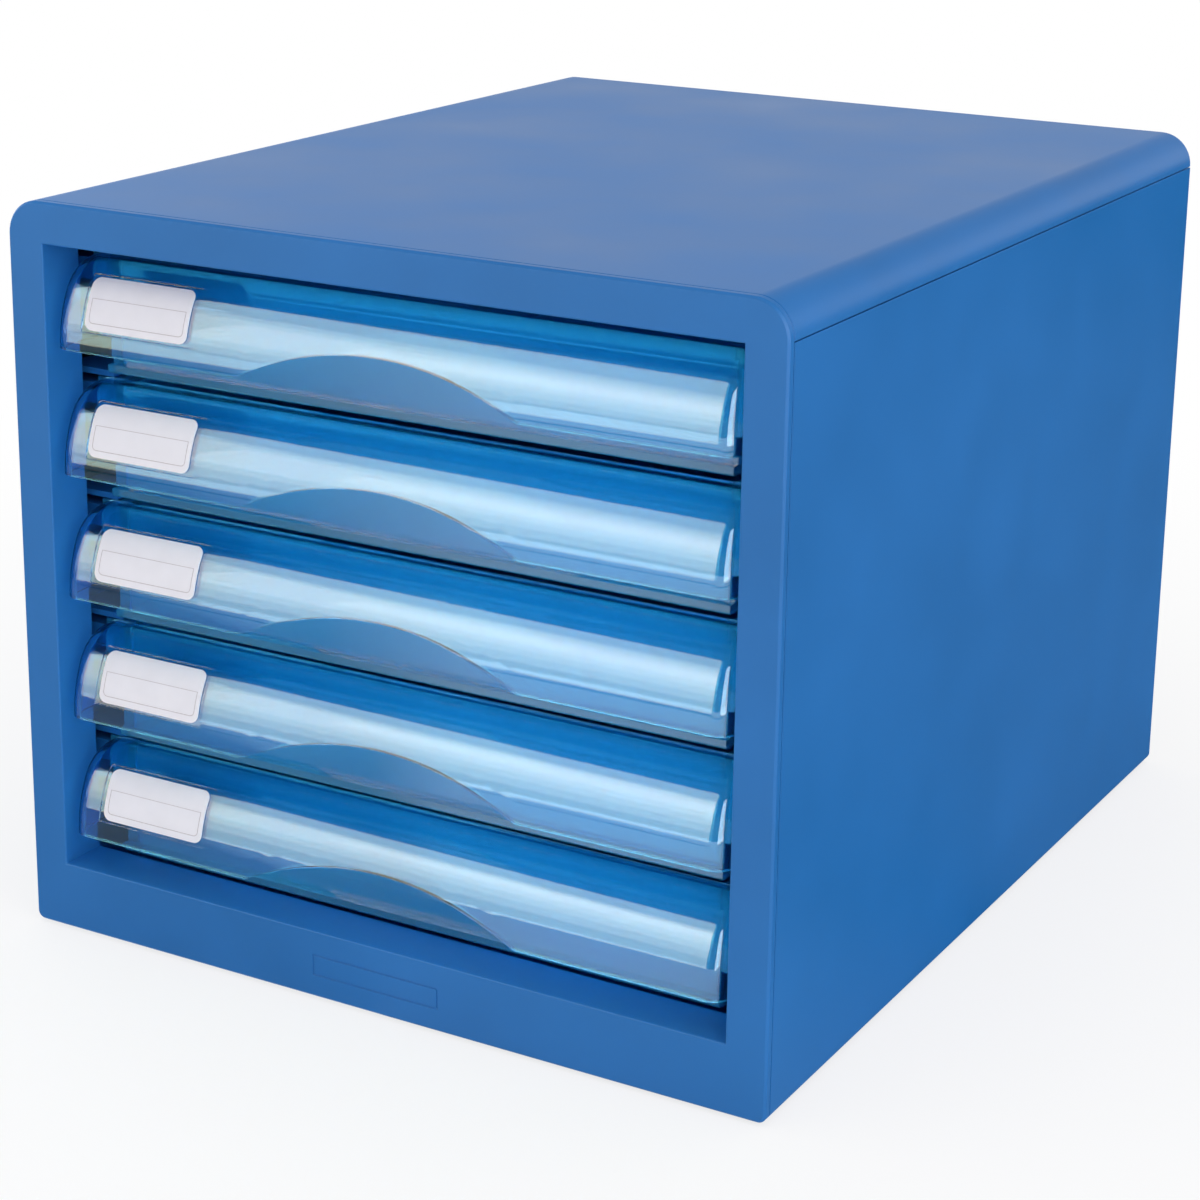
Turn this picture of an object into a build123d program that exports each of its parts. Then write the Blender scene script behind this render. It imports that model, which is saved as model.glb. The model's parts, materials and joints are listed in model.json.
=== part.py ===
from build123d import *

import os
from math import asin, cos, degrees

# Desktop drawer unit: a plastic cabinet of six panels on four pads, holding five trays.
# Each tray slides towards the front (-Y) on a pair of ribs inside the side panels. Its
# clear convex front is a separate shell with an arched finger pull and a label field.
# Millimetres, +Z up, origin under the middle of the cabinet on the surface it stands on.

os.makedirs("parts", exist_ok=True)

# Cabinet
cabinet_width = 285
cabinet_depth = 350
cabinet_height = 256
wall = 2.5
top_corner_radius = 12
bottom_corner_radius = 3
cover_skirt = 0.5
smallest_radius = 0.4
seam_gap = 0.3
fit_gap = 0.1

# Front frame
side_rail = 14.2
top_rail = 14
bottom_rail = 23.7
face_thickness = 3
throat_depth = 18
throat_wall = 2.5
frame_groove = 0.4
frame_tongue = 8
tongue_thickness = 2.2
outer_edge_chamfer = 0.8
window_edge_radius = 0.6
plate_width = 49
plate_height = 7.6
plate_centre_height = 11.6
plate_line_width = 0.6
plate_line_depth = 0.35

# Shell joints
ledge_reach = 10.5
seam_tongue_height = 5
seam_tongue_root = 4
seam_tongue_inset = 4.2
base_tongue_thickness = 2
back_thickness = 2.5
back_recess = 1.5
back_lug_width = 1
back_lug_height = 12
back_lug_thickness = 1.1
back_lug_count = 3
cover_stop_height = 3
cover_stop_margin = 22

# Foot pads
pad_diameter = 12
pad_thickness = 2
pad_proud = 1
pad_inset_x = 26
pad_inset_y = 24

# Drawers
drawer_count = 5
drawer_gap = 2.9
floor_clearance = 0.9
head_clearance = 5.3
drawer_travel = 250
side_space = 11.3
tray_wall = 2.2
tray_floor = 2.2
rear_space = 5
rim_drop = 0.5
rim_thickness = 2.2
rim_reach = 9
rear_corner_radius = 5
inner_corner_radius = 2.5
floor_lip_reach = 3
floor_lip_height = 3
lip_edge_radius = 1

# Runner ribs
rib_overlap = 6.5
rib_thickness = 2.4
keeper_thickness = 2
run_clearance = 0.3
keeper_clearance = 0.5
front_clearance = 0.4
stop_tooth_height = 5
stop_tooth_thickness = 3
stop_lug_length = 8
stop_lug_height = 4
stop_lug_overlap = 2
stop_clearance = 0.3

# Drawer fronts
front_setback = 0.8
front_side_gap = 1.8
front_drop = 10.6
front_wall = 2.2
lower_radius = 45
upper_radius = 17
end_radius = 6.5
cavity_chamfer = 2.5
pull_chord = 104.6
pull_rise = 12.8
pull_cut_depth = 8
cheek_clearance = 0.2
ear_clearance = 1
snap_width = 1
snap_height = 6
snap_thickness = 1.4
snap_clearance = 0.3

# Label fields and labels
field_width = 44.5
field_margin = 12.2
field_low = 7
field_top_margin = 4.3
field_depth = 0.3
label_width = 41.5
label_low = 8
label_top_margin = 5.2
label_thickness = 0.4
label_clearance = 0.05
label_corner_radius = 3
label_margin = 13.6
label_shifts = (0.4, 0.3, 0.1, -0.7, -0.2)

# Places worked out from the sizes above
half_width = cabinet_width / 2
half_depth = cabinet_depth / 2
front_y = -half_depth
cabinet_bottom = pad_proud
cabinet_top = cabinet_bottom + cabinet_height
seam_z = cabinet_top - top_corner_radius - cover_skirt
inner_half = half_width - wall
body_front = face_thickness + frame_groove
body_length = cabinet_depth - body_front
window_width = cabinet_width - 2 * side_rail
window_height = cabinet_height - top_rail - bottom_rail
window_bottom = cabinet_bottom + bottom_rail
window_middle = window_bottom + window_height / 2
tongue_start = face_thickness + frame_tongue + seam_gap
back_front_y = half_depth - back_recess - back_thickness
inner_length = back_front_y - (front_y + tongue_start)

drawer_pitch = (window_height - floor_clearance - head_clearance + drawer_gap) / drawer_count
drawer_height = drawer_pitch - drawer_gap
drawer_levels = [window_bottom + floor_clearance + n * drawer_pitch for n in range(drawer_count)]
front_half = window_width / 2 - front_side_gap
front_height = drawer_height - front_drop
field_high = front_height - field_top_margin
label_high = front_height - label_top_margin
turn = asin((front_height - upper_radius) / (lower_radius - upper_radius))
front_face_y = front_y + front_setback
crest_y = front_face_y + lower_radius - (lower_radius - upper_radius) * cos(turn)
tray_front_y = crest_y
front_back_y = tray_front_y + tray_wall
tray_back_y = back_front_y - rear_space
tray_length = tray_back_y - tray_front_y
tray_half = window_width / 2 - side_space
rim_height = drawer_height - rim_drop
ear_half = front_half - front_wall - cheek_clearance
ear_corner_radius = end_radius - front_wall + cheek_clearance

rib_front_y = front_back_y + front_clearance
rib_length = back_front_y - rib_front_y
rib_inner = tray_half + rim_reach - rib_overlap
rib_reach = inner_half - rib_inner
rib_top = rim_height - rim_thickness - run_clearance
stop_y = rib_front_y + stop_tooth_thickness + stop_clearance + drawer_travel


def behind(distance):
    """Plane facing the front, this far behind the front face. Extrude by a minus to go back."""
    return Plane.XZ.offset(half_depth - distance)


def cabinet_outline(inset, mode=Mode.ADD):
    """Cross-section of the cabinet with its rounded corners, moved inwards by inset."""
    with BuildSketch(mode=Mode.PRIVATE) as outline:
        with Locations((0, cabinet_bottom + cabinet_height / 2)):
            Rectangle(cabinet_width - 2 * inset, cabinet_height - 2 * inset)
        corners = outline.vertices().group_by(Axis.Y)
        fillet(corners[-1], max(top_corner_radius - inset, smallest_radius))
        corners = outline.vertices().group_by(Axis.Y)
        fillet(corners[0], max(bottom_corner_radius - inset, smallest_radius))
    add(outline.sketch, mode=mode)


def skin_profile(level, inset):
    """Side view of a front: two arcs, a flat top and a straight back, the skin moved in by inset."""
    centre_low = (front_face_y + lower_radius, level + front_drop)
    centre_high = (crest_y, level + drawer_height - upper_radius)
    top = level + drawer_height - inset
    with BuildSketch(mode=Mode.PRIVATE) as profile:
        with BuildLine():
            swell = CenterArc(centre_low, lower_radius - inset, 180, -degrees(turn))
            crown = CenterArc(centre_high, upper_radius - inset, 180 - degrees(turn), degrees(turn) - 90)
            Polyline(crown @ 1, (front_back_y, top), (front_back_y, level + front_drop), swell @ 0)
        make_face()
    add(profile.sketch)


def end_edges(front):
    """Edges of both ends of a front along its skin and its flat top."""
    ends = front.faces().filter_by(Axis.X).edges()
    return ends.filter_by(GeomType.CIRCLE) + ends.filter_by(Axis.Y).group_by(Axis.Z)[-1]


def skin_band(low, high, inner, outer, level):
    """Face between two offsets of a front's skin, from one height of that skin to another."""
    centre_low = (front_face_y + lower_radius, level + front_drop)
    centre_high = (crest_y, level + drawer_height - upper_radius)
    start = degrees(asin(low / lower_radius))
    middle = degrees(turn)
    end = degrees(asin((high - front_height + upper_radius) / upper_radius))
    with BuildSketch(mode=Mode.PRIVATE) as band:
        with BuildLine():
            outer_low = CenterArc(centre_low, lower_radius + outer, 180 - start, start - middle)
            outer_high = CenterArc(centre_high, upper_radius + outer, 180 - middle, middle - end)
            inner_low = CenterArc(centre_low, lower_radius + inner, 180 - start, start - middle)
            inner_high = CenterArc(centre_high, upper_radius + inner, 180 - middle, middle - end)
            Line(outer_low @ 0, inner_low @ 0)
            Line(outer_high @ 1, inner_high @ 1)
        make_face()
    add(band.sketch)


# Front frame: face, window throat, and the tongue that enters the body
with BuildPart() as front_frame:
    with BuildSketch(behind(0)):
        cabinet_outline(0)
        with Locations((0, window_middle)):
            Rectangle(window_width, window_height, mode=Mode.SUBTRACT)
    extrude(amount=-face_thickness)
    with BuildSketch(behind(0)):
        with Locations((0, window_middle)):
            Rectangle(window_width + 2 * throat_wall, window_height + 2 * throat_wall)
            Rectangle(window_width, window_height, mode=Mode.SUBTRACT)
    extrude(amount=-throat_depth)
    with BuildSketch(behind(face_thickness)):
        cabinet_outline(wall + fit_gap)
        cabinet_outline(wall + fit_gap + tongue_thickness, mode=Mode.SUBTRACT)
    extrude(amount=-frame_tongue)
    front_face = front_frame.faces().sort_by(Axis.Y)[0]
    chamfer(front_face.outer_wire().edges(), outer_edge_chamfer)
    front_face = front_frame.faces().sort_by(Axis.Y)[0]
    fillet(front_face.inner_wires()[0].edges(), window_edge_radius)
    with BuildSketch(behind(0)):
        with Locations((0, cabinet_bottom + plate_centre_height)):
            Rectangle(plate_width, plate_height)
            Rectangle(
                plate_width - 2 * plate_line_width,
                plate_height - 2 * plate_line_width,
                mode=Mode.SUBTRACT,
            )
    extrude(amount=-plate_line_depth, mode=Mode.SUBTRACT)
front_frame.part.label = "front_frame"
export_step(front_frame.part, "parts/front_frame.step")

# Side panels: outer skin, bottom ledge, seam tongue, a pair of ribs for each tray, back lugs
for side, name in ((-1, "left_side_panel"), (1, "right_side_panel")):
    outward = Align.MAX if side > 0 else Align.MIN
    inward = Align.MIN if side > 0 else Align.MAX
    with BuildPart() as side_panel:
        with BuildSketch(behind(body_front)) as skin:
            with BuildLine():
                Polyline(
                    (side * (half_width - ledge_reach), cabinet_bottom),
                    (side * half_width, cabinet_bottom),
                    (side * half_width, seam_z - seam_gap / 2),
                    (side * inner_half, seam_z - seam_gap / 2),
                    (side * inner_half, cabinet_bottom + wall),
                    (side * (half_width - ledge_reach), cabinet_bottom + wall),
                    close=True,
                )
            make_face()
            corner = skin.vertices().sort_by_distance((side * half_width, cabinet_bottom))[0]
            fillet(corner, bottom_corner_radius)
        extrude(amount=-body_length)
        with BuildSketch(behind(tongue_start)):
            with Locations((side * inner_half, seam_z - seam_gap / 2)):
                Rectangle(seam_tongue_inset, seam_tongue_root, align=(outward, Align.MAX))
            with Locations((side * (inner_half - seam_tongue_inset), seam_z - seam_gap / 2)):
                Rectangle(tongue_thickness, seam_tongue_height, align=(inward, Align.MIN))
        extrude(amount=-inner_length)
        for level in drawer_levels:
            with Locations((side * inner_half, rib_front_y, level + rib_top)):
                Box(rib_reach, rib_length, rib_thickness, align=(outward, Align.MIN, Align.MAX))
            with Locations((side * inner_half, rib_front_y, level + rim_height + keeper_clearance)):
                Box(rib_reach, rib_length, keeper_thickness, align=(outward, Align.MIN, Align.MIN))
            with Locations((side * inner_half, rib_front_y, level + rib_top - rib_thickness)):
                Box(
                    rib_reach,
                    stop_tooth_thickness,
                    stop_tooth_height,
                    align=(outward, Align.MIN, Align.MAX),
                )
        lug_step = cabinet_height / (back_lug_count + 1)
        for n in range(back_lug_count):
            lug_z = cabinet_bottom + (n + 1) * lug_step
            with Locations((side * inner_half, back_front_y + back_thickness + fit_gap, lug_z)):
                Box(
                    back_lug_width,
                    back_lug_thickness,
                    back_lug_height,
                    align=(outward, Align.MIN, Align.CENTER),
                )
    side_panel.part.label = name
    export_step(side_panel.part, f"parts/{name}.step")

# Base panel: plate between the ledges, wider tongue that lies on them, seats for the pads
pad_places = [
    (x * (half_width - pad_inset_x), y * (half_depth - pad_inset_y)) for x in (-1, 1) for y in (-1, 1)
]
with BuildPart() as base_panel:
    with BuildSketch(behind(body_front)):
        with Locations((0, cabinet_bottom)):
            Rectangle(2 * (half_width - ledge_reach - fit_gap), wall, align=(Align.CENTER, Align.MIN))
    extrude(amount=-body_length)
    with BuildSketch(behind(tongue_start)):
        with Locations((0, cabinet_bottom + wall)):
            Rectangle(2 * (inner_half - fit_gap), base_tongue_thickness, align=(Align.CENTER, Align.MIN))
    extrude(amount=-inner_length)
    with BuildSketch(Plane.XY.offset(cabinet_bottom)):
        with Locations(*pad_places):
            Circle(pad_diameter / 2 + fit_gap)
    extrude(amount=pad_thickness - pad_proud, mode=Mode.SUBTRACT)
base_panel.part.label = "base_panel"
export_step(base_panel.part, "parts/base_panel.step")

# Top cover: flat top with both rounded shoulders, and a stop rib for the back panel
with BuildPart() as top_cover:
    with BuildSketch(behind(body_front)):
        cabinet_outline(0)
        cabinet_outline(wall, mode=Mode.SUBTRACT)
        with Locations((0, seam_z + seam_gap / 2)):
            Rectangle(cabinet_width, cabinet_height, align=(Align.CENTER, Align.MAX), mode=Mode.SUBTRACT)
    extrude(amount=-body_length)
    with Locations((0, back_front_y, cabinet_top - wall)):
        Box(
            cabinet_width - 2 * cover_stop_margin,
            tongue_thickness,
            cover_stop_height,
            align=(Align.CENTER, Align.MAX, Align.MAX),
        )
top_cover.part.label = "top_cover"
export_step(top_cover.part, "parts/top_cover.step")

# Back panel: plate held inside the rear opening, against the ribs and behind the lugs
with BuildPart() as back_panel:
    with BuildSketch(Plane.XZ.offset(-back_front_y)):
        cabinet_outline(wall + fit_gap)
    extrude(amount=-back_thickness)
back_panel.part.label = "back_panel"
export_step(back_panel.part, "parts/back_panel.step")

# Foot pads
pad_names = ("foot_front_left", "foot_back_left", "foot_front_right", "foot_back_right")
for name, place in zip(pad_names, pad_places):
    with BuildPart() as foot_pad:
        with BuildSketch(Plane.XY):
            with Locations(place):
                Circle(pad_diameter / 2)
        extrude(amount=pad_thickness)
    foot_pad.part.label = name
    export_step(foot_pad.part, f"parts/{name}.step")

# Drawers, counted from the lowest
for n, level in enumerate(drawer_levels):
    skin_low = level + front_drop
    skin_top = level + drawer_height
    snap_z = skin_low + front_height / 2

    # Tray: open box with side rims that run on the ribs, front ears, floor lip, stop lugs
    with BuildPart() as tray:
        with BuildSketch(Plane.XY.offset(level)) as floor_plan:
            with Locations((0, tray_front_y)):
                Rectangle(2 * tray_half, tray_length, align=(Align.CENTER, Align.MIN))
            fillet(floor_plan.vertices().group_by(Axis.Y)[-1], rear_corner_radius)
        extrude(amount=rim_height)
        with BuildSketch(Plane.XY.offset(level + tray_floor)):
            with Locations((0, front_back_y + (tray_length - 2 * tray_wall) / 2)):
                RectangleRounded(
                    2 * (tray_half - tray_wall), tray_length - 2 * tray_wall, inner_corner_radius
                )
        extrude(amount=drawer_height, mode=Mode.SUBTRACT)
        for side in (-1, 1):
            near = Align.MIN if side > 0 else Align.MAX
            with Locations((side * tray_half, front_back_y, level + rim_height)):
                Box(
                    rim_reach,
                    tray_length - tray_wall - rear_corner_radius,
                    rim_thickness,
                    align=(near, Align.MIN, Align.MAX),
                )
            with Locations((side * tray_half, stop_y, level + rib_top - rib_thickness - run_clearance)):
                Box(
                    rib_inner - tray_half + stop_lug_overlap,
                    stop_lug_length,
                    stop_lug_height,
                    align=(near, Align.MIN, Align.MAX),
                )
        with BuildSketch(Plane.XZ.offset(-tray_front_y)) as ears:
            with Locations((0, skin_low + ear_clearance)):
                Rectangle(
                    2 * ear_half,
                    front_height - front_wall - ear_clearance,
                    align=(Align.CENTER, Align.MIN),
                )
            fillet(ears.vertices(), ear_corner_radius)
            with Locations((-ear_half, snap_z), (ear_half, snap_z)):
                Rectangle(
                    2 * (snap_width + snap_clearance),
                    snap_height + 2 * snap_clearance,
                    mode=Mode.SUBTRACT,
                )
        extrude(amount=-tray_wall)
        with Locations((0, front_back_y + cheek_clearance, skin_top - front_wall)):
            Box(
                2 * front_half,
                tray_length,
                drawer_height,
                align=(Align.CENTER, Align.MAX, Align.MIN),
                mode=Mode.SUBTRACT,
            )
        with Locations((0, tray_front_y, level)):
            Box(
                2 * tray_half,
                floor_lip_reach,
                floor_lip_height,
                align=(Align.CENTER, Align.MAX, Align.MIN),
            )
        lip_corner = (0, tray_front_y - floor_lip_reach, level)
        lip_edge = tray.edges().filter_by(Axis.X).sort_by_distance(lip_corner)[0]
        fillet(lip_edge, lip_edge_radius)
    tray.part.label = f"drawer_tray_{n + 1}"
    export_step(tray.part, f"parts/drawer_tray_{n + 1}.step")

    # Room behind the skin of the front, open downwards and towards the tray
    with BuildPart() as front_cavity:
        with BuildSketch(Plane.YZ):
            skin_profile(level, front_wall)
        extrude(amount=front_half - front_wall, both=True)
        chamfer(end_edges(front_cavity), cavity_chamfer)

    # Front: convex shell, rounded at both ends
    with BuildPart() as drawer_front:
        with BuildSketch(Plane.YZ):
            skin_profile(level, 0)
        extrude(amount=front_half, both=True)
        fillet(end_edges(drawer_front), end_radius)
        add(front_cavity.part, mode=Mode.SUBTRACT)
        pull_radius = (pull_chord**2 / 4 + pull_rise**2) / (2 * pull_rise)
        with BuildSketch(Plane.XZ.offset(-front_face_y - pull_cut_depth)):
            with Locations((0, skin_low + pull_rise - pull_radius)):
                Circle(pull_radius)
        extrude(amount=2 * pull_cut_depth, mode=Mode.SUBTRACT)
        with BuildSketch(Plane.YZ.offset(-front_half + field_margin)):
            skin_band(field_low, field_high, -field_depth, field_depth, level)
        extrude(amount=field_width, mode=Mode.SUBTRACT)
        for side in (-1, 1):
            towards_middle = Align.MAX if side > 0 else Align.MIN
            with Locations((side * (ear_half + cheek_clearance), tray_front_y + tray_wall / 2, snap_z)):
                Box(
                    snap_width,
                    snap_thickness,
                    snap_height,
                    align=(towards_middle, Align.CENTER, Align.CENTER),
                )
    drawer_front.part.label = f"drawer_front_{n + 1}"
    export_step(drawer_front.part, f"parts/drawer_front_{n + 1}.step")

    # Label: thin curved card in its field, each one placed by hand
    with BuildPart() as label:
        card_in = label_clearance - field_depth
        with BuildSketch(Plane.YZ.offset(-front_half + label_margin + label_shifts[n])):
            skin_band(label_low, label_high, card_in, card_in + label_thickness, level)
        extrude(amount=label_width)
        corners = label.edges().group_by(SortBy.LENGTH)[0]
        fillet(corners, label_corner_radius)
    label.part.label = f"label_{n + 1}"
    export_step(label.part, f"parts/label_{n + 1}.step")
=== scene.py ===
import json
import math

import bmesh
import bpy
from bpy.props import FloatProperty, FloatVectorProperty, PointerProperty
from mathutils import Matrix, Vector

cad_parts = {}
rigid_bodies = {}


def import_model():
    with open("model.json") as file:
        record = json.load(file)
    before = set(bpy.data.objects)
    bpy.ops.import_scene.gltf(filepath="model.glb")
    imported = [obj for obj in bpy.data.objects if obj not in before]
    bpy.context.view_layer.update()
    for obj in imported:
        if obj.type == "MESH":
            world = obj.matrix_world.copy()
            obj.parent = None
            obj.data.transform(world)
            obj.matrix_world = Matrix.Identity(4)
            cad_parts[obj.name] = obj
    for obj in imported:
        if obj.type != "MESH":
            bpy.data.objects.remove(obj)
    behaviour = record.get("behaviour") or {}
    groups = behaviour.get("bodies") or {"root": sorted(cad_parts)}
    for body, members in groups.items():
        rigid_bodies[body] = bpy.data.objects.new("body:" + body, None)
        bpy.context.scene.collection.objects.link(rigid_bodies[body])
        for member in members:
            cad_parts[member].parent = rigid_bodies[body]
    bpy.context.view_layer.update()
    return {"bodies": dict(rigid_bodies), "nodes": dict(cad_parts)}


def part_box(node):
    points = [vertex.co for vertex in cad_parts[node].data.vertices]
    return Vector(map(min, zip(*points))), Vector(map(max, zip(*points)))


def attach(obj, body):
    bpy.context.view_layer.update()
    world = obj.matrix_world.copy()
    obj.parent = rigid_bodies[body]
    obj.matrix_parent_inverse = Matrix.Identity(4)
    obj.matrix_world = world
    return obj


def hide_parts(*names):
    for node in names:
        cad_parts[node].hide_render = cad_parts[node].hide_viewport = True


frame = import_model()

bl_info = {
    "name": "Desktop Drawer Unit",
    "version": (1, 0, 0),
    "blender": (4, 5, 0),
    "location": "View3D > Sidebar > Drawer Unit",
    "description": "Finishes a plastic desktop drawer unit with clear fronts and sets up its studio",
    "category": "Object",
}

MM = 0.001
SHELL_NODES = ("front_frame", "left_side_panel", "right_side_panel", "top_cover", "base_panel", "back_panel")
PAD_NODES = ("foot_front_left", "foot_back_left", "foot_front_right", "foot_back_right")
DRAWERS = sorted(name for name in frame["bodies"] if name.startswith("drawer_"))
RIM_ANGLE = 50  # degrees from which an edge of a curved sheet counts as its rim
CARD_EDGE = 0.08 * MM
CARD_PROUD = 0.05 * MM  # how far a card stands out of its field
FIELD_STEP = 0.12 * MM  # width of the wall around a label field
REAR_LEAN = 0.45  # share of the wall by which a front's rear rim leans


class ShellSettings(bpy.types.PropertyGroup):
    colour: FloatVectorProperty(
        name="Shell colour", description="Colour of the case's plastic", subtype="COLOR", default=(0.018, 0.148, 0.43)
    )
    roughness: FloatProperty(name="Shell roughness", description="Roughness of the satin finish", default=0.42)
    edge: FloatProperty(
        name="Edge rounding", description="Radius of the moulded edges", unit="LENGTH", default=0.35 * MM
    )
    frame_edge: FloatProperty(
        name="Front edge rounding", description="Radius of the front frame's edges", unit="LENGTH", default=0.15 * MM
    )
    grain: FloatProperty(
        name="Grain size", description="Size of the fine moulded grain", unit="LENGTH", default=0.5 * MM
    )


class FrontSettings(bpy.types.PropertyGroup):
    tint: FloatVectorProperty(
        name="Front tint", description="Colour that light keeps through a front's wall", subtype="COLOR",
        default=(0.2, 0.69, 0.92),
    )
    tray_tint: FloatVectorProperty(
        name="Tray tint", description="Colour that light keeps through a tray's wall", subtype="COLOR",
        default=(0.06, 0.46, 0.84),
    )
    haze: FloatProperty(name="Tray haze", description="Share of light that a tray scatters", default=0.25)
    refraction: FloatProperty(name="Refraction", description="Index of refraction of the clear plastic", default=1.5)
    wall: FloatProperty(name="Wall", description="Wall of the clear fronts", unit="LENGTH", default=2.1 * MM)
    lower_radius: FloatProperty(
        name="Lower radius", description="Radius of the skin below its bend", unit="LENGTH", default=45 * MM
    )
    upper_radius: FloatProperty(
        name="Upper radius", description="Radius of the skin above its bend", unit="LENGTH", default=17 * MM
    )
    end_radius: FloatProperty(
        name="End rounding", description="Rounding at both ends of a front", unit="LENGTH", default=6.5 * MM
    )
    pull_chord: FloatProperty(
        name="Pull width", description="Width of the finger arch", unit="LENGTH", default=104.6 * MM
    )
    pull_rise: FloatProperty(
        name="Pull height", description="Height of the finger arch", unit="LENGTH", default=12.8 * MM
    )
    field_margin: FloatProperty(
        name="Field margin", description="From a front's left end to its label field", unit="LENGTH",
        default=12.2 * MM,
    )
    field_width: FloatProperty(
        name="Field width", description="Width of the label field", unit="LENGTH", default=44.5 * MM
    )
    field_low: FloatProperty(
        name="Field low", description="From a front's bottom edge to the label field", unit="LENGTH", default=7 * MM
    )
    field_high: FloatProperty(
        name="Field high", description="From a front's bottom edge to the label field's top", unit="LENGTH",
        default=25.2 * MM,
    )
    field_depth: FloatProperty(
        name="Field depth", description="Depth of the label field", unit="LENGTH", default=0.3 * MM
    )
    edge: FloatProperty(
        name="Rim rounding", description="Radius of the rims of the clear parts", unit="LENGTH", default=0.35 * MM
    )


class LabelSettings(bpy.types.PropertyGroup):
    colour: FloatVectorProperty(
        name="Card colour", description="Colour of the label card", subtype="COLOR", default=(0.84, 0.83, 0.9)
    )
    ink: FloatVectorProperty(
        name="Print colour", description="Colour of the printed box", subtype="COLOR", default=(0.4, 0.36, 0.4)
    )
    line: FloatProperty(
        name="Line width", description="Width of the printed line", unit="LENGTH", default=0.2 * MM
    )
    thickness: FloatProperty(
        name="Card thickness", description="Thickness of the label card", unit="LENGTH", default=0.4 * MM
    )
    corner: FloatProperty(
        name="Corner radius", description="Radius of the card's corners", unit="LENGTH", default=3 * MM
    )
    box_inset: FloatProperty(
        name="Box inset", description="From the card's side edges to the printed box", unit="LENGTH", default=1.7 * MM
    )
    box_top: FloatProperty(
        name="Box top", description="Top of the printed box, as a share of the card", default=0.58
    )
    box_foot: FloatProperty(
        name="Box foot", description="Foot of the printed box, as a share of the card", default=0.13
    )


class StudioSettings(bpy.types.PropertyGroup):
    panel_colour: FloatVectorProperty(
        name="Panel colour", description="Colour of the reflected front panel", subtype="COLOR",
        default=(1.0, 0.92, 0.66),
    )
    streak_colour: FloatVectorProperty(
        name="Streak colour", description="Colour of the bright streak in the panel", subtype="COLOR",
        default=(1.0, 0.72, 0.5),
    )
    left_colour: FloatVectorProperty(
        name="Left colour", description="Colour of the reflected left panel", subtype="COLOR",
        default=(0.55, 0.75, 1.0),
    )
    right_colour: FloatVectorProperty(
        name="Right colour", description="Colour of the reflected right panel", subtype="COLOR",
        default=(1.0, 0.97, 0.95),
    )
    streak_light: FloatProperty(name="Streak light", description="Radiance that each layer adds to it", default=1.7)
    panel_light: FloatProperty(name="Panel light", description="Radiance of the reflected front panel", default=4.2)
    left_panel: FloatProperty(name="Left panel", description="Radiance of the reflected left panel", default=2.52)
    right_panel: FloatProperty(name="Right panel", description="Radiance of the reflected right panel", default=7.14)
    top_light: FloatProperty(name="Top light", description="Radiance of the light overhead", default=1.0)
    right_light: FloatProperty(name="Right light", description="Radiance of the light on the right", default=1.65)
    surround: FloatProperty(name="Surround", description="Soft light from all around", default=0.65)


class Value:
    """A number in a shader. The operators + - * and / add the Math node they stand for."""

    def __init__(self, shader, socket):
        self.shader = shader
        self.socket = socket

    def _with(self, operation, first, second):
        return self.shader.value("ShaderNodeMath", {"operation": operation}, {0: first, 1: second})

    def __add__(self, other):
        return self._with("ADD", self, other)

    def __sub__(self, other):
        return self._with("SUBTRACT", self, other)

    def __mul__(self, other):
        return self._with("MULTIPLY", self, other)

    def __truediv__(self, other):
        return self._with("DIVIDE", self, other)

    def __radd__(self, other):
        return self._with("ADD", other, self)

    def __rsub__(self, other):
        return self._with("SUBTRACT", other, self)

    def __rmul__(self, other):
        return self._with("MULTIPLY", other, self)

    def __rtruediv__(self, other):
        return self._with("DIVIDE", other, self)


class Shader:
    """A node tree under construction, of a material or of the world."""

    def __init__(self, owner):
        owner.use_nodes = True
        self.tree = owner.node_tree
        self.tree.nodes.clear()

    def node(self, kind, settings=None, inputs=None):
        """Adds a node: its type, its settings, and the values or links of its sockets."""
        made = self.tree.nodes.new(kind)
        for key, setting in (settings or {}).items():
            setattr(made, key, setting)
        for key, source in (inputs or {}).items():
            socket = made.inputs[key]
            if isinstance(source, Value):
                self.tree.links.new(source.socket, socket)
            elif isinstance(source, bpy.types.NodeSocket):
                self.tree.links.new(source, socket)
            else:
                socket.default_value = source
        return made

    def value(self, kind, settings=None, inputs=None, output=0):
        """Adds a node and gives one of its outputs as a number."""
        return Value(self, self.node(kind, settings, inputs).outputs[output])

    def ramp(self, factor, stops):
        """Colour ramp over a factor, with stops of a place and a colour."""
        made = self.node("ShaderNodeValToRGB", None, {"Fac": factor})
        elements = made.color_ramp.elements
        while len(elements) < len(stops):
            elements.new(0.5)
        for element, (place, colour) in zip(elements, stops):
            element.position = place
            element.color = colour
        return made.outputs["Color"]

    def noise(self, coordinates, size, detail):
        """Noise whose patches have about that size."""
        return self.value("ShaderNodeTexNoise", None, {"Vector": coordinates, "Scale": 1 / size, "Detail": detail})

    def span(self, value, start, end, low=0.0, high=1.0, curve="LINEAR"):
        """A number that goes from low to high while the value goes from start to end, and then stays."""
        return self.value(
            "ShaderNodeMapRange", {"interpolation_type": curve},
            {"Value": value, "From Min": start, "From Max": end, "To Min": low, "To Max": high},
        )


def new_shader(name):
    """A new material and the shader that fills it."""
    material = bpy.data.materials.new(name)
    return material, Shader(material)


def plus_alpha(colour):
    """A colour as a socket takes it, fully opaque."""
    return (*colour, 1.0)


def finish_surface(shader, bsdf):
    """Sends the finished surface to the material's output."""
    shader.node("ShaderNodeOutputMaterial", None, {"Surface": bsdf.outputs["BSDF"]})


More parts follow.
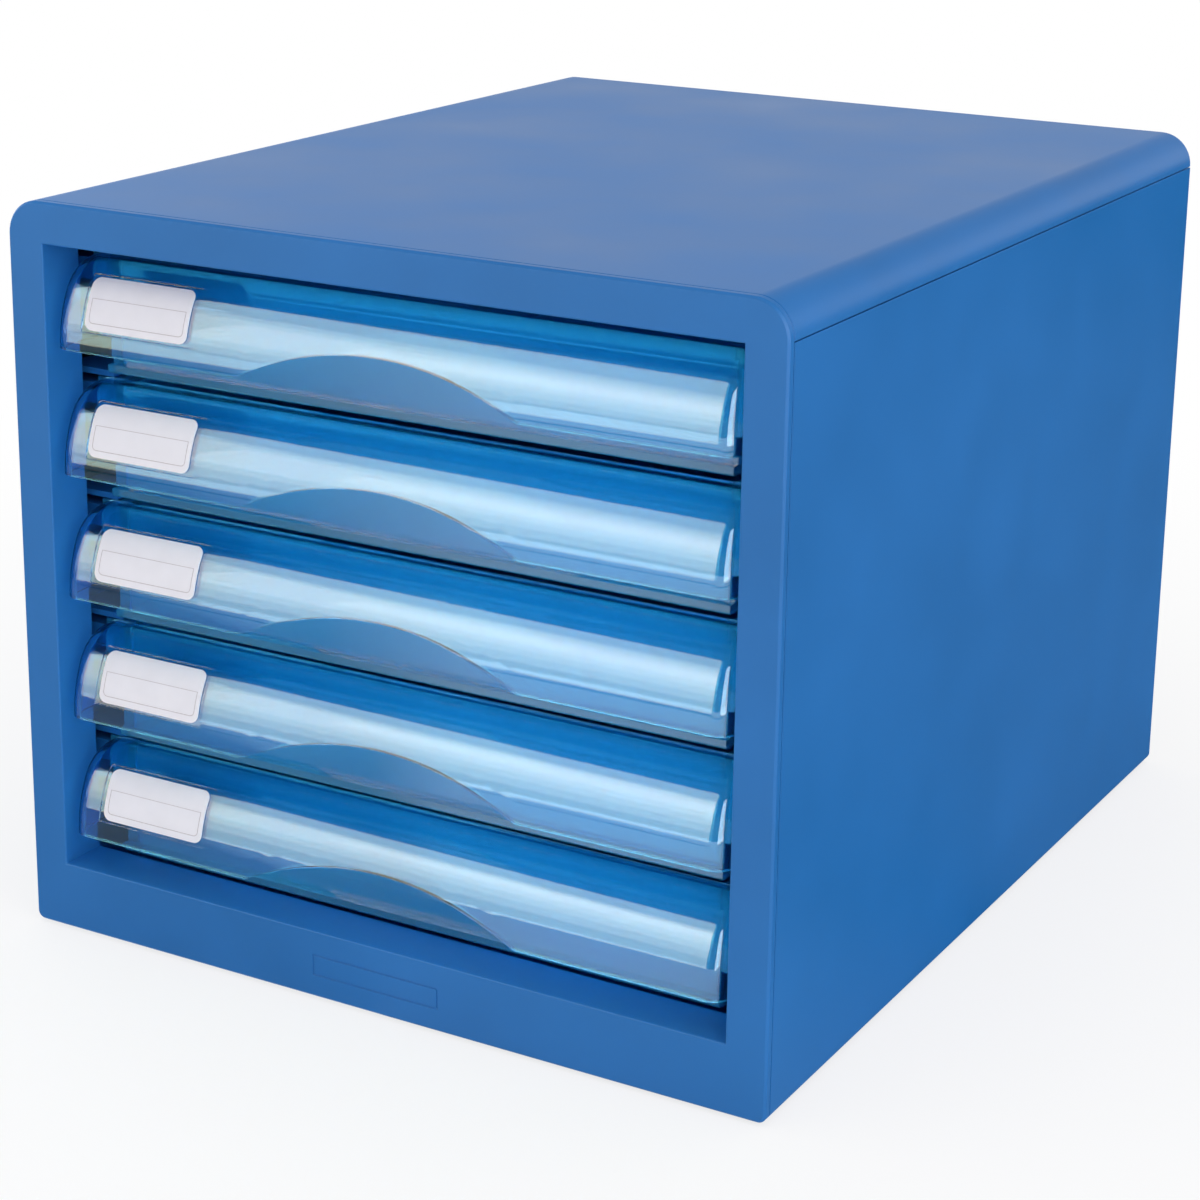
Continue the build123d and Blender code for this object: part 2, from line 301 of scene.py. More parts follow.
def shell_material(settings):
    """Satin mid-blue plastic: fine moulded grain, faint sink marks and uneven gloss."""
    material, shader = new_shader("satin_blue_plastic")
    place = shader.node("ShaderNodeTexCoord").outputs["Object"]
    grain = shader.noise(place, settings.grain, 1.0)
    sinks = shader.noise(place, 55 * MM, 2.0)
    flow = shader.noise(place, 16 * MM, 3.0)
    mottle = 0.06
    deep = plus_alpha([c * (1 - mottle) for c in settings.colour])
    pale = plus_alpha([c * (1 + mottle) for c in settings.colour])
    colour = shader.ramp(sinks, [(0.3, deep), (0.7, pale)])
    relief = shader.node(
        "ShaderNodeBump", None, {"Strength": 0.25, "Distance": 0.04 * MM, "Height": grain * 0.5 + flow * 0.3}
    )
    waves = shader.node(
        "ShaderNodeBump", None,
        {"Strength": 0.3, "Distance": 0.5 * MM, "Height": sinks, "Normal": relief.outputs["Normal"]},
    )
    uneven = 0.12
    bsdf = shader.node(
        "ShaderNodeBsdfPrincipled",
        None,
        {
            "Base Color": colour,
            "Roughness": sinks * uneven + (settings.roughness - uneven / 2),
            "Specular IOR Level": 0.15,
            "Normal": waves.outputs["Normal"],
        },
    )
    finish_surface(shader, bsdf)
    return material


def clear_material(name, settings, tint, roughness, haze):
    """Polished clear plastic with a blue tint and very slight flow waves."""
    material, shader = new_shader(name)
    place = shader.node("ShaderNodeTexCoord").outputs["Object"]
    flow = shader.noise(place, 30 * MM, 1.0)
    waves = shader.node("ShaderNodeBump", None, {"Strength": 0.15, "Distance": 0.3 * MM, "Height": flow})
    bsdf = shader.node(
        "ShaderNodeBsdfPrincipled",
        None,
        {
            "Base Color": plus_alpha(tint),
            "Roughness": roughness,
            "IOR": settings.refraction,
            "Transmission Weight": 1.0 - haze,
            "Normal": waves.outputs["Normal"],
        },
    )
    finish_surface(shader, bsdf)
    return material


def card_material(settings):
    """White coated card with a faint fibre mottle."""
    material, shader = new_shader("label_card")
    place = shader.node("ShaderNodeTexCoord").outputs["Object"]
    fibres = shader.noise(place, 0.6 * MM, 3.0)
    cloud = shader.noise(place, 9 * MM, 2.0)
    mottle = 0.035
    dull = plus_alpha([c * (1 - mottle) for c in settings.colour])
    colour = shader.ramp(cloud, [(0.3, dull), (0.7, plus_alpha(settings.colour))])
    relief = shader.node("ShaderNodeBump", None, {"Strength": 0.1, "Distance": 0.02 * MM, "Height": fibres})
    bsdf = shader.node(
        "ShaderNodeBsdfPrincipled",
        None,
        {
            "Base Color": colour,
            "Roughness": fibres * 0.1 + 0.6,
            "Specular IOR Level": 0.1,
            "Normal": relief.outputs["Normal"],
        },
    )
    finish_surface(shader, bsdf)
    return material


def ink_material(settings):
    """Grey printing ink, a little uneven."""
    material, shader = new_shader("label_ink")
    place = shader.node("ShaderNodeTexCoord").outputs["Object"]
    dots = shader.noise(place, 0.5 * MM, 2.0)
    fade = 1.25
    thin = plus_alpha([min(1.0, c * fade) for c in settings.ink])
    colour = shader.ramp(dots, [(0.35, plus_alpha(settings.ink)), (0.65, thin)])
    bsdf = shader.node("ShaderNodeBsdfPrincipled", None, {"Base Color": colour, "Roughness": 0.6})
    finish_surface(shader, bsdf)
    return material


def pad_material():
    """Dark rubber with a dusty mottle."""
    material, shader = new_shader("pad_rubber")
    place = shader.node("ShaderNodeTexCoord").outputs["Object"]
    dust = shader.noise(place, 1.5 * MM, 4.0)
    rubber, dusty = (0.012, 0.012, 0.014), (0.035, 0.035, 0.04)
    colour = shader.ramp(dust, [(0.3, plus_alpha(rubber)), (0.75, plus_alpha(dusty))])
    relief = shader.node("ShaderNodeBump", None, {"Strength": 0.3, "Distance": 0.05 * MM, "Height": dust})
    bsdf = shader.node(
        "ShaderNodeBsdfPrincipled",
        None,
        {"Base Color": colour, "Roughness": dust * 0.2 + 0.6, "Normal": relief.outputs["Normal"]},
    )
    finish_surface(shader, bsdf)
    return material


def material_of(name, make, *arguments):
    """The material of that name, made once."""
    return bpy.data.materials.get(name) or make(*arguments)


def add_object(name, mesh, material):
    """A new object with that mesh and one material."""
    made = bpy.data.objects.new(name, mesh)
    bpy.context.scene.collection.objects.link(made)
    mesh.materials.clear()
    mesh.materials.append(material)
    return made


def frozen(piece):
    """Turns a piece's modifiers into plain mesh and removes them."""
    graph = bpy.context.evaluated_depsgraph_get()
    mesh = bpy.data.meshes.new_from_object(piece.evaluated_get(graph), depsgraph=graph)
    piece.modifiers.clear()
    piece.data = mesh
    return piece


def rounded_edges(piece, radius, angle=35):
    """Rounds the sharp edges of a piece, then keeps its flat faces flat in shading."""
    bevel = piece.modifiers.new("edge", "BEVEL")
    bevel.width = radius
    bevel.segments = 2
    bevel.limit_method = "ANGLE"
    bevel.angle_limit = math.radians(angle)
    bevel.miter_outer = "MITER_ARC"
    piece.modifiers.new("shading", "WEIGHTED_NORMAL").keep_sharp = True
    piece.data.polygons.foreach_set("use_smooth", [True] * len(piece.data.polygons))
    return frozen(piece)


def copy_of_node(node, name, material):
    """A merged copy of a CAD node, with its flat areas as single faces."""
    mesh = bpy.data.meshes.new(name)
    shape = bmesh.new()
    shape.from_mesh(frame["nodes"][node].data)
    bmesh.ops.remove_doubles(shape, verts=shape.verts, dist=0.001 * MM)
    bmesh.ops.dissolve_limit(
        shape, angle_limit=math.radians(0.5), verts=shape.verts, edges=shape.edges, use_dissolve_boundaries=False
    )
    shape.to_mesh(mesh)
    shape.free()
    return add_object(name, mesh, material)


def seat(piece, body, slot, *nodes):
    """Makes a finished piece ride on its body and hides the nodes that it takes the place of."""
    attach(piece, body)
    if nodes:
        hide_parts(*nodes)


def new_tree(name, inputs):
    """A geometry node group with a geometry in and out and further named inputs."""
    tree = bpy.data.node_groups.new(name, "GeometryNodeTree")
    tree.interface.new_socket("Geometry", in_out="INPUT", socket_type="NodeSocketGeometry")
    for label, kind in inputs:
        tree.interface.new_socket(label, in_out="INPUT", socket_type=kind)
    tree.interface.new_socket("Geometry", in_out="OUTPUT", socket_type="NodeSocketGeometry")
    return tree, tree.nodes.new("NodeGroupInput"), tree.nodes.new("NodeGroupOutput")


def chain(tree, source, steps, target):
    """Links nodes in a row. A step is a node's type, its geometry input and its further inputs."""
    for kind, geometry, inputs in steps:
        made = tree.nodes.new(kind)
        tree.links.new(source, made.inputs[geometry])
        for key, value in inputs.items():
            if isinstance(value, bpy.types.NodeSocket):
                tree.links.new(value, made.inputs[key])
            else:
                made.inputs[key].default_value = value
        source = made.outputs[0]
    tree.links.new(source, target)


def stack_tree():
    """Moves a copy of a drawer's piece up to its own drawer."""
    name = "drawer_stack"
    if name in bpy.data.node_groups:
        return bpy.data.node_groups[name]
    tree, group, result = new_tree(name, [("Offset", "NodeSocketVector"), ("Material", "NodeSocketMaterial")])
    steps = [
        ("GeometryNodeGeometryToInstance", "Geometry", {}),
        ("GeometryNodeTranslateInstances", "Instances", {"Translation": group.outputs["Offset"]}),
        ("GeometryNodeRealizeInstances", "Geometry", {}),
        ("GeometryNodeSetMaterial", "Geometry", {"Material": group.outputs["Material"]}),
    ]
    chain(tree, group.outputs["Geometry"], steps, result.inputs["Geometry"])
    return tree


def line_tree():
    """Draws a fine printed line along the edges of a path."""
    name = "printed_line"
    if name in bpy.data.node_groups:
        return bpy.data.node_groups[name]
    tree, group, result = new_tree(name, [("Line width", "NodeSocketFloat"), ("Material", "NodeSocketMaterial")])
    section = tree.nodes.new("GeometryNodeCurvePrimitiveCircle")
    section.inputs["Resolution"].default_value = 6
    half = tree.nodes.new("ShaderNodeMath")
    half.operation = "MULTIPLY"
    half.inputs[1].default_value = 0.5
    tree.links.new(group.outputs["Line width"], half.inputs[0])
    tree.links.new(half.outputs[0], section.inputs["Radius"])
    steps = [
        ("GeometryNodeMeshToCurve", "Mesh", {}),
        ("GeometryNodeCurveToMesh", "Curve", {"Profile Curve": section.outputs["Curve"]}),
        ("GeometryNodeRealizeInstances", "Geometry", {}),
        ("GeometryNodeSetMaterial", "Geometry", {"Material": group.outputs["Material"]}),
    ]
    chain(tree, group.outputs["Geometry"], steps, result.inputs["Geometry"])
    return tree


def with_tree(piece, tree, values):
    """Gives a piece a geometry tree and sets the tree's inputs."""
    modifier = piece.modifiers.new(tree.name, "NODES")
    modifier.node_group = tree
    for item in tree.interface.items_tree:
        if item.in_out == "INPUT" and item.name in values:
            modifier[item.identifier] = values[item.name]
    return piece


def stack(pattern, nodes, names, slot, material, replace=True):
    """Puts a copy of a pattern in each drawer, where that drawer's node is, and drops the pattern."""
    start = Vector(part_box(nodes + "1")[0])
    pieces = []
    for body in DRAWERS:
        number = body.rpartition("_")[2]
        node = nodes + number
        piece = add_object(names + number, pattern.data.copy(), material)
        offset = Vector(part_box(node)[0]) - start
        frozen(with_tree(piece, stack_tree(), {"Offset": offset, "Material": material}))
        seat(piece, body, slot, *([node] if replace else []))
        pieces.append(piece)
    bpy.data.objects.remove(pattern)
    return pieces


class FrontProfile:
    """Side view of a clear front, in metres: a lower arc, an upper arc and a flat top."""

    def __init__(self, node, settings):
        low, high = (Vector(corner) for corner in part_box(node))
        self.left, self.right = low.x, high.x
        self.bottom, self.top = low.z, high.z
        self.face, self.back = low.y, high.y
        self.r1, self.r2 = settings.lower_radius, settings.upper_radius
        height = self.top - self.bottom
        self.turn = math.asin((height - self.r2) / (self.r1 - self.r2))
        self.crest = self.face + self.r1 - (self.r1 - self.r2) * math.cos(self.turn)
        self.lower_length = self.r1 * self.turn
        self.upper_length = self.r2 * (math.pi / 2 - self.turn)
        self.length = self.lower_length + self.upper_length

    def at(self, distance, out):
        """Point (y, z) at that distance up along the skin, moved outwards by out."""
        if distance <= self.lower_length:
            angle = distance / self.r1
            radius = self.r1 + out
            return self.face + self.r1 - radius * math.cos(angle), self.bottom + radius * math.sin(angle)
        angle = self.turn + (distance - self.lower_length) / self.r2
        radius = self.r2 + out
        return self.crest - radius * math.cos(angle), self.top - self.r2 + radius * math.sin(angle)

    def distance(self, height):
        """Distance along the skin at a height above its bottom edge."""
        if height <= self.r1 * math.sin(self.turn):
            return self.r1 * math.asin(height / self.r1)
        rise = height - (self.top - self.bottom - self.r2)
        return self.lower_length + self.r2 * (math.asin(min(1.0, rise / self.r2)) - self.turn)


def spread(low, high, count):
    """Values from low to high in that many even steps."""
    return [low + (high - low) * n / count for n in range(count + 1)]


def front_mesh(name, profile, settings):
    """Shell of a clear front as one closed mesh: outer skin, inner skin and the rims between them."""
    shape = bmesh.new()
    end = settings.end_radius
    middle = (profile.left + profile.right) / 2
    half = (profile.right - profile.left) / 2
    chord, rise = settings.pull_chord, settings.pull_rise
    arch_radius = (chord**2 / 4 + rise**2) / (2 * rise)
    field_left = profile.left + settings.field_margin
    field_right = field_left + settings.field_width
    field_low, field_high = profile.distance(settings.field_low), profile.distance(settings.field_high)
    bend = profile.lower_length

    def arch(x):
        """Height of the front's lower edge above its bottom at x."""
        across = abs(x - middle)
        if across >= chord / 2:
            return 0.0
        return math.sqrt(arch_radius**2 - across**2) - arch_radius + rise

    flat_left, flat_right = profile.left + end, profile.right - end
    field_span = spread(field_left + FIELD_STEP, field_right - FIELD_STEP, 4)
    columns = [flat_left, field_left - FIELD_STEP, field_left, *field_span, field_right, field_right + FIELD_STEP]
    columns += spread(middle - chord / 2, middle + chord / 2, 48)
    columns += spread(middle + chord / 2, flat_right, 4)[1:]
    rows = spread(0.0, field_low - FIELD_STEP, 6) + [field_low, field_low + FIELD_STEP]
    rows += spread(field_low + FIELD_STEP, bend, 8)[1:]
    rows += spread(bend, field_high - FIELD_STEP, 5)[1:] + [field_high, field_high + FIELD_STEP]
    rows += spread(field_high + FIELD_STEP, profile.length, 9)[1:]
    turns = [math.radians(a) for a in spread(90, 0, 8)[:-1]]
    sides = [(-1, a) for a in turns] + [(0, x) for x in columns] + [(1, a) for a in reversed(turns)]

    def skin(inset, inner):
        """One skin of faces, inset by a wall for the inner one. Returns its bottom and rear rims."""
        grid = []
        around = end - inset
        for side, where in sides:
            if side:
                x = middle + side * (half - end + around * math.sin(where))
                more = around * (1 - math.cos(where))
            else:
                x, more = where, 0.0
            low = profile.distance(arch(x)) if not side else 0.0
            line = []
            for s in rows:
                along = low + s * (bend - low) / bend if s < bend else s
                sunk = 0.0
                if not inner and not side and field_left < x < field_right and field_low < s < field_high:
                    sunk = settings.field_depth
                y, z = profile.at(along, -(inset + more + sunk))
                if s == 0:
                    z = profile.bottom + (0.0 if side else arch(x))
                line.append(shape.verts.new((x, y, z)))
            line.append(shape.verts.new((x, profile.back - inset * REAR_LEAN, profile.top - inset - more)))
            grid.append(line)
        first, last = (
            shape.verts.new((line[0].co.x, profile.back, profile.bottom)) for line in (grid[0], grid[-1])
        )
        for one, two in zip(grid, grid[1:]):
            for n in range(len(one) - 1):
                face = (one[n], two[n], two[n + 1], one[n + 1])
                shape.faces.new(face if not inner else face[::-1])
        cap_left = [first, *grid[0]]
        cap_right = [last, *grid[-1]]
        shape.faces.new(cap_left if not inner else cap_left[::-1])
        shape.faces.new(cap_right[::-1] if not inner else cap_right)
        bottom = [first] + [line[0] for line in grid] + [last]
        rear = [first] + [line[-1] for line in grid] + [last]
        return bottom, rear

    outer_bottom, outer_rear = skin(0.0, False)
    inner_bottom, inner_rear = skin(settings.wall, True)
    for outside, inside, flip in ((outer_bottom, inner_bottom, True), (outer_rear, inner_rear, False)):
        for n in range(len(outside) - 1):
            face = (outside[n], outside[n + 1], inside[n + 1], inside[n])
            shape.faces.new(face[::-1] if flip else face)
    bmesh.ops.recalc_face_normals(shape, faces=shape.faces)
    mesh = bpy.data.meshes.new(name)
    shape.to_mesh(mesh)
    shape.free()
    return mesh


class CardPlace:
    """The stretch of a front's label field that its card covers."""

    def __init__(self, node, profile, front, settings):
        low, high = (Vector(corner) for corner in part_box(node))
        self.profile = profile
        self.left, self.right = low.x, high.x
        self.low = profile.distance(low.z - profile.bottom)
        self.high = profile.distance(high.z - profile.bottom)
        self.outer = settings.thickness - front.field_depth + CARD_PROUD
        self.inner = self.outer - settings.thickness
        self.corner = settings.corner

    def point(self, x, along, out):
        """Point at x and at a distance along the skin, moved outwards by out."""
        y, z = self.profile.at(along, out)
        return Vector((x, y, z))

    def inset(self, along):
        """How far the rounded corners pull the card's sides in at a distance along the skin."""
        near = min(along - self.low, self.high - along)
        if near >= self.corner:
            return 0.0
        return self.corner - math.sqrt(max(0.0, self.corner**2 - (self.corner - near) ** 2))


def card_mesh(name, place):
    """The label card as one closed curved sheet with rounded corners."""
    fan = [place.corner * (1 - math.cos(math.radians(a))) for a in spread(0, 90, 7)]
    rows = [place.low + d for d in fan] + spread(place.low + place.corner, place.high - place.corner, 10)[1:-1]
    rows += [place.high - d for d in reversed(fan)]
    shape = bmesh.new()
    rims = []
    for out in (place.outer, place.inner):
        grid = []
        for along in rows:
            left, right = place.left + place.inset(along), place.right - place.inset(along)
            grid.append([shape.verts.new(place.point(x, along, out)) for x in spread(left, right, 6)])
        for one, two in zip(grid, grid[1:]):
            for n in range(len(one) - 1):
                shape.faces.new((one[n], one[n + 1], two[n + 1], two[n]))
        right_side, left_side = [row[-1] for row in grid[1:]], [row[0] for row in grid[-2:0:-1]]
        rims.append(grid[0] + right_side + grid[-1][-2::-1] + left_side)
    front, back = rims
    for n in range(len(front)):
        after = (n + 1) % len(front)
        shape.faces.new((front[n], front[after], back[after], back[n]))
    bmesh.ops.recalc_face_normals(shape, faces=shape.faces)
    mesh = bpy.data.meshes.new(name)
    shape.to_mesh(mesh)
    shape.free()
    return mesh


def print_path(name, place, settings):
    """Closed path of the printed box on the card: a rule on top and rounded lower corners."""
    height = place.high - place.low
    left, right = place.left + settings.box_inset, place.right - settings.box_inset
    foot, top = place.low + settings.box_foot * height, place.low + settings.box_top * height
    bend = place.corner * 0.5
    steps = [math.radians(a) for a in spread(0, 90, 4)]
    outline = [(right, along) for along in spread(top, foot + bend, 6)[:-1]]
    outline += [(right - bend * (1 - math.cos(a)), foot + bend * (1 - math.sin(a))) for a in steps]
    outline += [(left + bend * (1 - math.sin(a)), foot + bend * (1 - math.cos(a))) for a in steps]
    outline += [(left, along) for along in spread(foot + bend, top, 6)[1:]]
    points = [place.point(x, along, place.outer) for x, along in outline]
    mesh = bpy.data.meshes.new(name)
    mesh.from_pydata(points, [(n, (n + 1) % len(points)) for n in range(len(points))], [])
    return mesh


class DRAWERUNIT_OT_case(bpy.types.Operator):
    """Finishes the case's panels and its foot pads"""

    bl_idname = "drawerunit.case"
    bl_label = "Case"

    def execute(self, context):
        settings = context.scene.drawerunit_shell
        plastic = material_of("satin_blue_plastic", shell_material, settings)
        rubber = material_of("pad_rubber", pad_material)
        for node in SHELL_NODES:
            piece = copy_of_node(node, "case_" + node, plastic)
            edge = settings.frame_edge if node == "front_frame" else settings.edge
            seat(rounded_edges(piece, edge), "cabinet", "shell", node)
        for node in PAD_NODES:
            piece = copy_of_node(node, "rubber_" + node, rubber)
            seat(rounded_edges(piece, settings.edge), "cabinet", "pads", node)
        return {"FINISHED"}


class DRAWERUNIT_OT_trays(bpy.types.Operator):
    """Finishes the clear tray once and stacks a copy in each drawer"""

    bl_idname = "drawerunit.trays"
    bl_label = "Trays"

    def execute(self, context):
        settings = context.scene.drawerunit_front
        name, roughness = "clear_blue_tray", 0.06
        clear = material_of(name, clear_material, name, settings, settings.tray_tint, roughness, settings.haze)
        pattern = rounded_edges(copy_of_node("drawer_tray_1", "tray_pattern", clear), settings.edge)
        stack(pattern, "drawer_tray_", "clear_tray_", "tray", clear)
        return {"FINISHED"}


class DRAWERUNIT_OT_fronts(bpy.types.Operator):
    """Makes the convex clear front with its finger arch and label field, and stacks a copy in each drawer"""

    bl_idname = "drawerunit.fronts"
    bl_label = "Fronts"

    def execute(self, context):
        settings = context.scene.drawerunit_front
        name, roughness, haze = "clear_blue_front", 0.02, 0.0
        clear = material_of(name, clear_material, name, settings, settings.tint, roughness, haze)
        profile = FrontProfile("drawer_front_1", settings)
        pattern = add_object("front_pattern", front_mesh("front_pattern", profile, settings), clear)
        rounded_edges(pattern, settings.edge, RIM_ANGLE)
        for front in stack(pattern, "drawer_front_", "clear_front_", "front", clear):
            front.visible_shadow = False
        return {"FINISHED"}


class DRAWERUNIT_OT_labels(bpy.types.Operator):
    """Makes the curved label card and its printed box, and stacks a copy of both in each drawer"""

    bl_idname = "drawerunit.labels"
    bl_label = "Labels"

    def execute(self, context):
        settings = context.scene.drawerunit_label
        front = context.scene.drawerunit_front
        card = material_of("label_card", card_material, settings)
        ink = material_of("label_ink", ink_material, settings)
        profile = FrontProfile("drawer_front_1", front)
        place = CardPlace("label_1", profile, front, settings)
        pattern = add_object("card_pattern", card_mesh("card_pattern", place), card)
        stack(rounded_edges(pattern, CARD_EDGE, RIM_ANGLE), "label_", "card_", "label", card)
        box = add_object("print_pattern", print_path("print_pattern", place, settings), ink)
        with_tree(box, line_tree(), {"Line width": settings.line, "Material": ink})
        stack(frozen(box), "label_", "card_print_", "label", ink, False)
        return {"FINISHED"}


class DRAWERUNIT_OT_studio(bpy.types.Operator):
    """Sets up the floor, the lamps, the surround and the camera"""

    bl_idname = "drawerunit.studio"
    bl_label = "Studio"

    def execute(self, context):
        settings = context.scene.drawerunit_studio
        make_floor()
        make_surround(settings)
        middle = Vector((0, -175, 128)) * MM
        streak = (settings.streak_light, settings.streak_colour)
        # Azimuth and elevation in degrees, distance and size in metres. Lamps in one plane don't add up in a
        # reflection, so each layer of the streak has a plane of its own.
        for name, azimuth, elevation, distance, size, (radiance, colour) in (
            ("front_panel", -34, 19.5, 1.5, (0.85, 1.4), (settings.panel_light, settings.panel_colour)),
            ("streak_1", -38, 17, 1.46, (1.06, 0.72), streak),
            ("streak_2", -32, 18.5, 1.43, (0.71, 0.5), streak),
            ("streak_3", -29, 19.5, 1.4, (0.54, 0.32), streak),
            ("streak_4", -26.6, 20, 1.37, (0.41, 0.15), streak),
            ("left_panel", -90, 20, 1.55, (2.6, 1.2), (settings.left_panel, settings.left_colour)),
            ("right_panel", 53, 12, 1.5, (1.5, 1.3), (settings.right_panel, settings.right_colour)),
        ):
            mirrored = add_panel(name, middle, azimuth, elevation, distance, size, radiance)
            mirrored.data.color = colour
            mirrored.visible_diffuse = False
        for name, azimuth, elevation, distance, size, radiance in (
            ("top_light", 0, 85, 2.0, (2.0, 2.0), settings.top_light),
            ("right_light", 75, 20, 2.0, (1.6, 1.6), settings.right_light),
        ):
            soft = add_panel(name, middle, azimuth, elevation, distance, size, radiance)
            soft.visible_glossy = False
            soft.visible_transmission = False
        make_camera()
        context.scene.view_settings.view_transform = "Standard"
        return {"FINISHED"}


def direction(azimuth, elevation):
    """Unit vector from the object towards an azimuth, 0 at the front and positive to the right, and elevation."""
    a, e = math.radians(azimuth), math.radians(elevation)
    return Vector((math.sin(a) * math.cos(e), -math.cos(a) * math.cos(e), math.sin(e)))


def add_panel(name, target, azimuth, elevation, distance, size, radiance):
    """A soft rectangular lamp that faces the target."""
    data = bpy.data.lights.new(name, "AREA")
    data.shape = "RECTANGLE"
    data.size, data.size_y = size
    data.energy = radiance * math.pi * size[0] * size[1]
    lamp = bpy.data.objects.new(name, data)
    bpy.context.scene.collection.objects.link(lamp)
    away = direction(azimuth, elevation)
    turned = away.to_track_quat("Z", "Y").to_matrix().to_4x4()
    lamp.matrix_world = Matrix.Translation(target + away * distance) @ turned
    return lamp


def make_floor():
    """A pale floor that keeps the object's shadow and turns to plain white away from it.

    In reflections it glows as a painted reflection of a lit table in front of the object, bluish, dimmer to the left
    and brighter towards the front, with a painted dark line across it at 1.2 m and a brighter glow past it.
    """
    material, shader = new_shader("pale_floor")
    place = shader.node("ShaderNodeTexCoord").outputs["Object"]
    away = shader.value("ShaderNodeVectorMath", {"operation": "LENGTH"}, {0: place}, "Value")
    plain = shader.span(away, 0.15, 0.7, 0.75, 1.0, "SMOOTHSTEP")
    ray = shader.node("ShaderNodeLightPath")
    seen, mirrored = Value(shader, ray.outputs["Is Camera Ray"]), Value(shader, ray.outputs["Is Glossy Ray"])
    parts = shader.node("ShaderNodeSeparateXYZ", None, {"Vector": place})
    x, y = Value(shader, parts.outputs["X"]), Value(shader, parts.outputs["Y"])
    face = -0.175
    # Painted reflection: masks for a glow that only glossy rays see, dimmer to the left, rising from 0.3 to 2.6
    # towards the front, a painted dark gap at 1.2 m and a brighter glow of 2.8 past it.
    left = shader.span(x / (face - y), -0.9, -0.6, 0.3)
    front = shader.span(y, 0.0, -0.3, 0.3, 2.6)
    near = shader.span(away, 1.2, 1.15)
    painted_far_glow = shader.span(away, 1.22, 1.28, 0.0, 2.8)
    ahead = shader.span(y, -0.5, -0.7)
    # Plain white for the camera, plus the painted reflection glow for glossy rays.
    white_and_painted_glow = seen + mirrored * left * (front * near + painted_far_glow * ahead)
    # Painted reflection tint: glossy rays see the glow with less red and green, so it looks bluish.
    tone = shader.node(
        "ShaderNodeCombineColor", None,
        {"Red": white_and_painted_glow - 0.2 * mirrored, "Green": white_and_painted_glow - 0.1 * mirrored, "Blue": white_and_painted_glow},
    )
    white = shader.node("ShaderNodeEmission", None, {"Color": tone.outputs[0], "Strength": 1.0})
    pale = shader.node("ShaderNodeBsdfPrincipled", None, {"Base Color": (0.9, 0.9, 0.9, 1), "Roughness": 0.7})
    mixed = shader.node(
        "ShaderNodeMixShader", None,
        {"Fac": plain * seen + mirrored, 1: pale.outputs["BSDF"], 2: white.outputs["Emission"]},
    )
    shader.node("ShaderNodeOutputMaterial", None, {"Surface": mixed.outputs["Shader"]})
    mesh = bpy.data.meshes.new("floor")
    reach = 8.0
    corners = [(-reach, -reach, 0), (reach, -reach, 0), (reach, reach, 0), (-reach, reach, 0)]
    mesh.from_pydata(corners, [], [(0, 1, 2, 3)])
    add_object("floor", mesh, material)


def make_surround(settings):
    """World: white to the camera, soft light on the object, and in reflections a dark room with a low backdrop."""
    world = bpy.data.worlds.new("studio")
    bpy.context.scene.world = world
    shader = Shader(world)
    place = shader.node("ShaderNodeTexCoord").outputs["Generated"]
    parts = shader.node("ShaderNodeSeparateXYZ", None, {"Vector": place})
    behind = shader.span(parts.outputs["Y"], -0.1, 0.3)
    low = shader.span(parts.outputs["Z"], 0.4, 0.24)
    backdrop, room_light = 1.45, 0.06
    bright = behind * low * backdrop + room_light
    ray = shader.node("ShaderNodeLightPath")
    mirrored = shader.node("ShaderNodeCombineColor", None, {"Red": bright, "Green": bright, "Blue": bright})
    soft = shader.node("ShaderNodeBackground", None, {"Color": (1, 1, 1, 1), "Strength": settings.surround})
    white = shader.node("ShaderNodeBackground", None, {"Color": (1, 1, 1, 1), "Strength": 1.0})
    room = shader.node("ShaderNodeBackground", None, {"Color": mirrored.outputs[0], "Strength": 1.0})
    through = Value(shader, ray.outputs["Is Camera Ray"]) + Value(shader, ray.outputs["Is Transmission Ray"])
    first = shader.node(
        "ShaderNodeMixShader", None,
        {"Fac": ray.outputs["Is Glossy Ray"], 1: soft.outputs[0], 2: room.outputs[0]},
    )
    last = shader.node("ShaderNodeMixShader", None, {"Fac": through, 1: first.outputs[0], 2: white.outputs[0]})
    shader.node("ShaderNodeOutputWorld", None, {"Surface": last.outputs[0]})


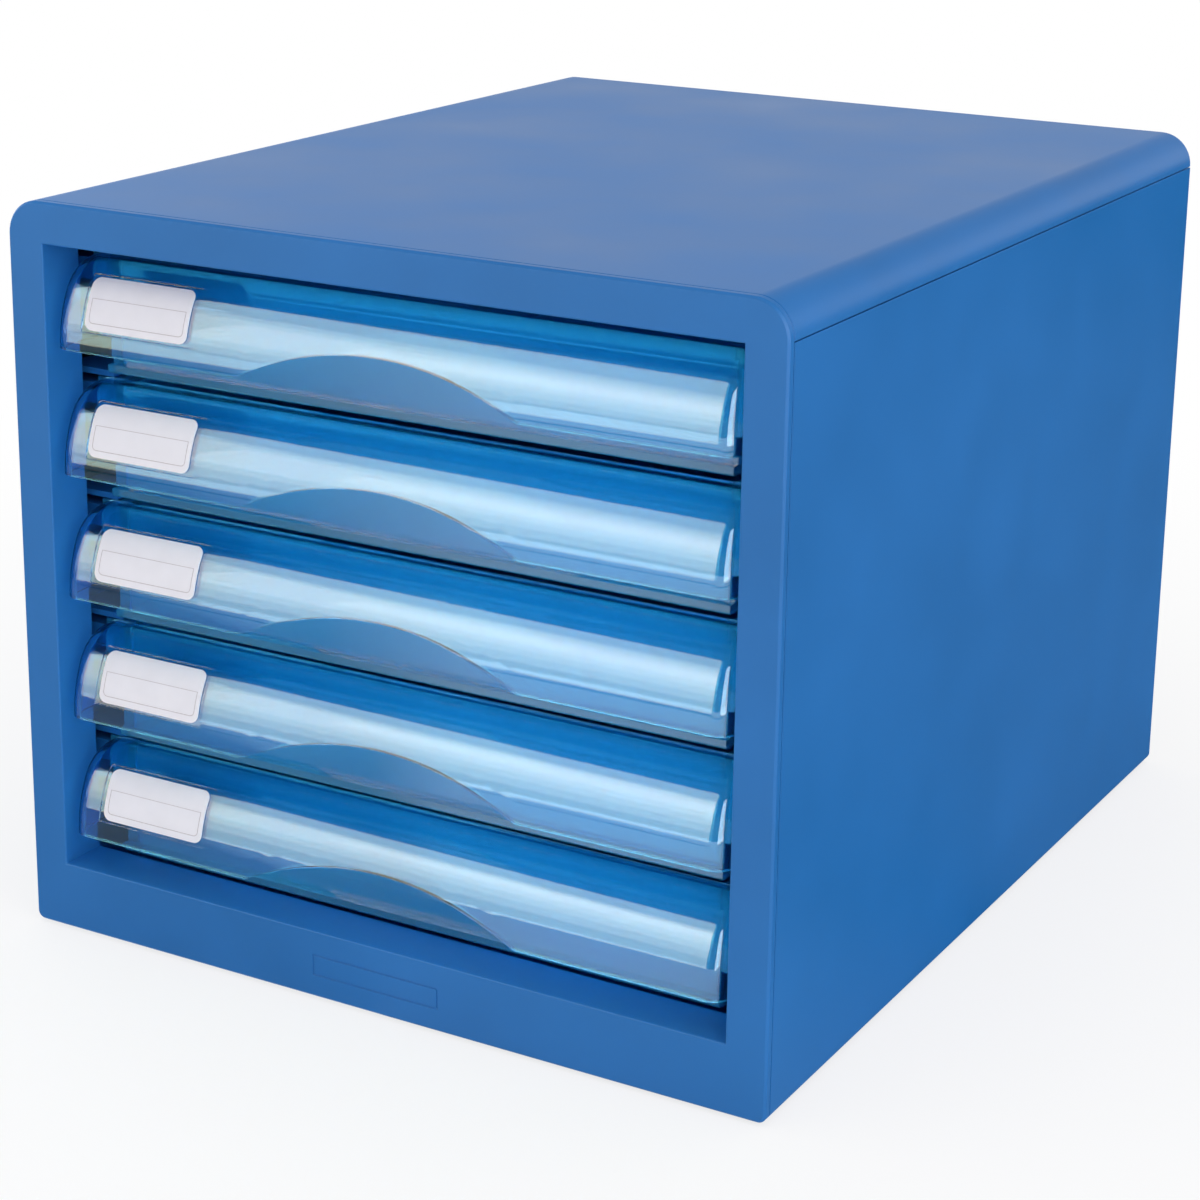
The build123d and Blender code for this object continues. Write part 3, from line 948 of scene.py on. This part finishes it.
def make_camera():
    """Camera at the photograph's place, a little above and to the right of the front."""
    frame_width, focal_pixels, centre_pixel = 1200, 2826.5, 450
    sensor = 36.0
    distance = 831.6 * MM
    data = bpy.data.cameras.new("camera")
    data.sensor_width = sensor
    data.lens = focal_pixels / frame_width * sensor
    data.shift_y = -(frame_width / 2 - centre_pixel) / frame_width
    data.clip_start, data.clip_end = 0.01, 50
    camera = bpy.data.objects.new("camera", data)
    bpy.context.scene.collection.objects.link(camera)
    back = direction(29.511, 15.53)
    target = Vector((81.8, -175, 204.8)) * MM
    side = Vector((0, 0, 1)).cross(back).normalized()
    up = back.cross(side)
    roll = math.radians(0.796)
    right = side * math.cos(roll) + up * math.sin(roll)
    top = up * math.cos(roll) - side * math.sin(roll)
    turned = Matrix((right, top, back)).transposed()
    camera.matrix_world = Matrix.Translation(target + back * distance) @ turned.to_4x4()
    bpy.context.scene.camera = camera


class DRAWERUNIT_PT_panel(bpy.types.Panel):
    bl_idname = "DRAWERUNIT_PT_panel"
    bl_label = "Drawer Unit"
    bl_space_type = "VIEW_3D"
    bl_region_type = "UI"
    bl_category = "Drawer Unit"

    def draw(self, context):
        for operator in OPERATORS:
            self.layout.operator(operator.bl_idname)


GROUPS = {
    "drawerunit_shell": ShellSettings,
    "drawerunit_front": FrontSettings,
    "drawerunit_label": LabelSettings,
    "drawerunit_studio": StudioSettings,
}
OPERATORS = (
    DRAWERUNIT_OT_case,
    DRAWERUNIT_OT_trays,
    DRAWERUNIT_OT_fronts,
    DRAWERUNIT_OT_labels,
    DRAWERUNIT_OT_studio,
)


def register():
    for name, group in GROUPS.items():
        bpy.utils.register_class(group)
        setattr(bpy.types.Scene, name, PointerProperty(type=group))
    for operator in OPERATORS:
        bpy.utils.register_class(operator)
    bpy.utils.register_class(DRAWERUNIT_PT_panel)


def unregister():
    bpy.utils.unregister_class(DRAWERUNIT_PT_panel)
    for operator in reversed(OPERATORS):
        bpy.utils.unregister_class(operator)
    for name, group in GROUPS.items():
        delattr(bpy.types.Scene, name)
        bpy.utils.unregister_class(group)


def main():
    register()
    bpy.ops.drawerunit.case()
    bpy.ops.drawerunit.trays()
    bpy.ops.drawerunit.fronts()
    bpy.ops.drawerunit.labels()
    bpy.ops.drawerunit.studio()


if __name__ == "__main__":
    main()
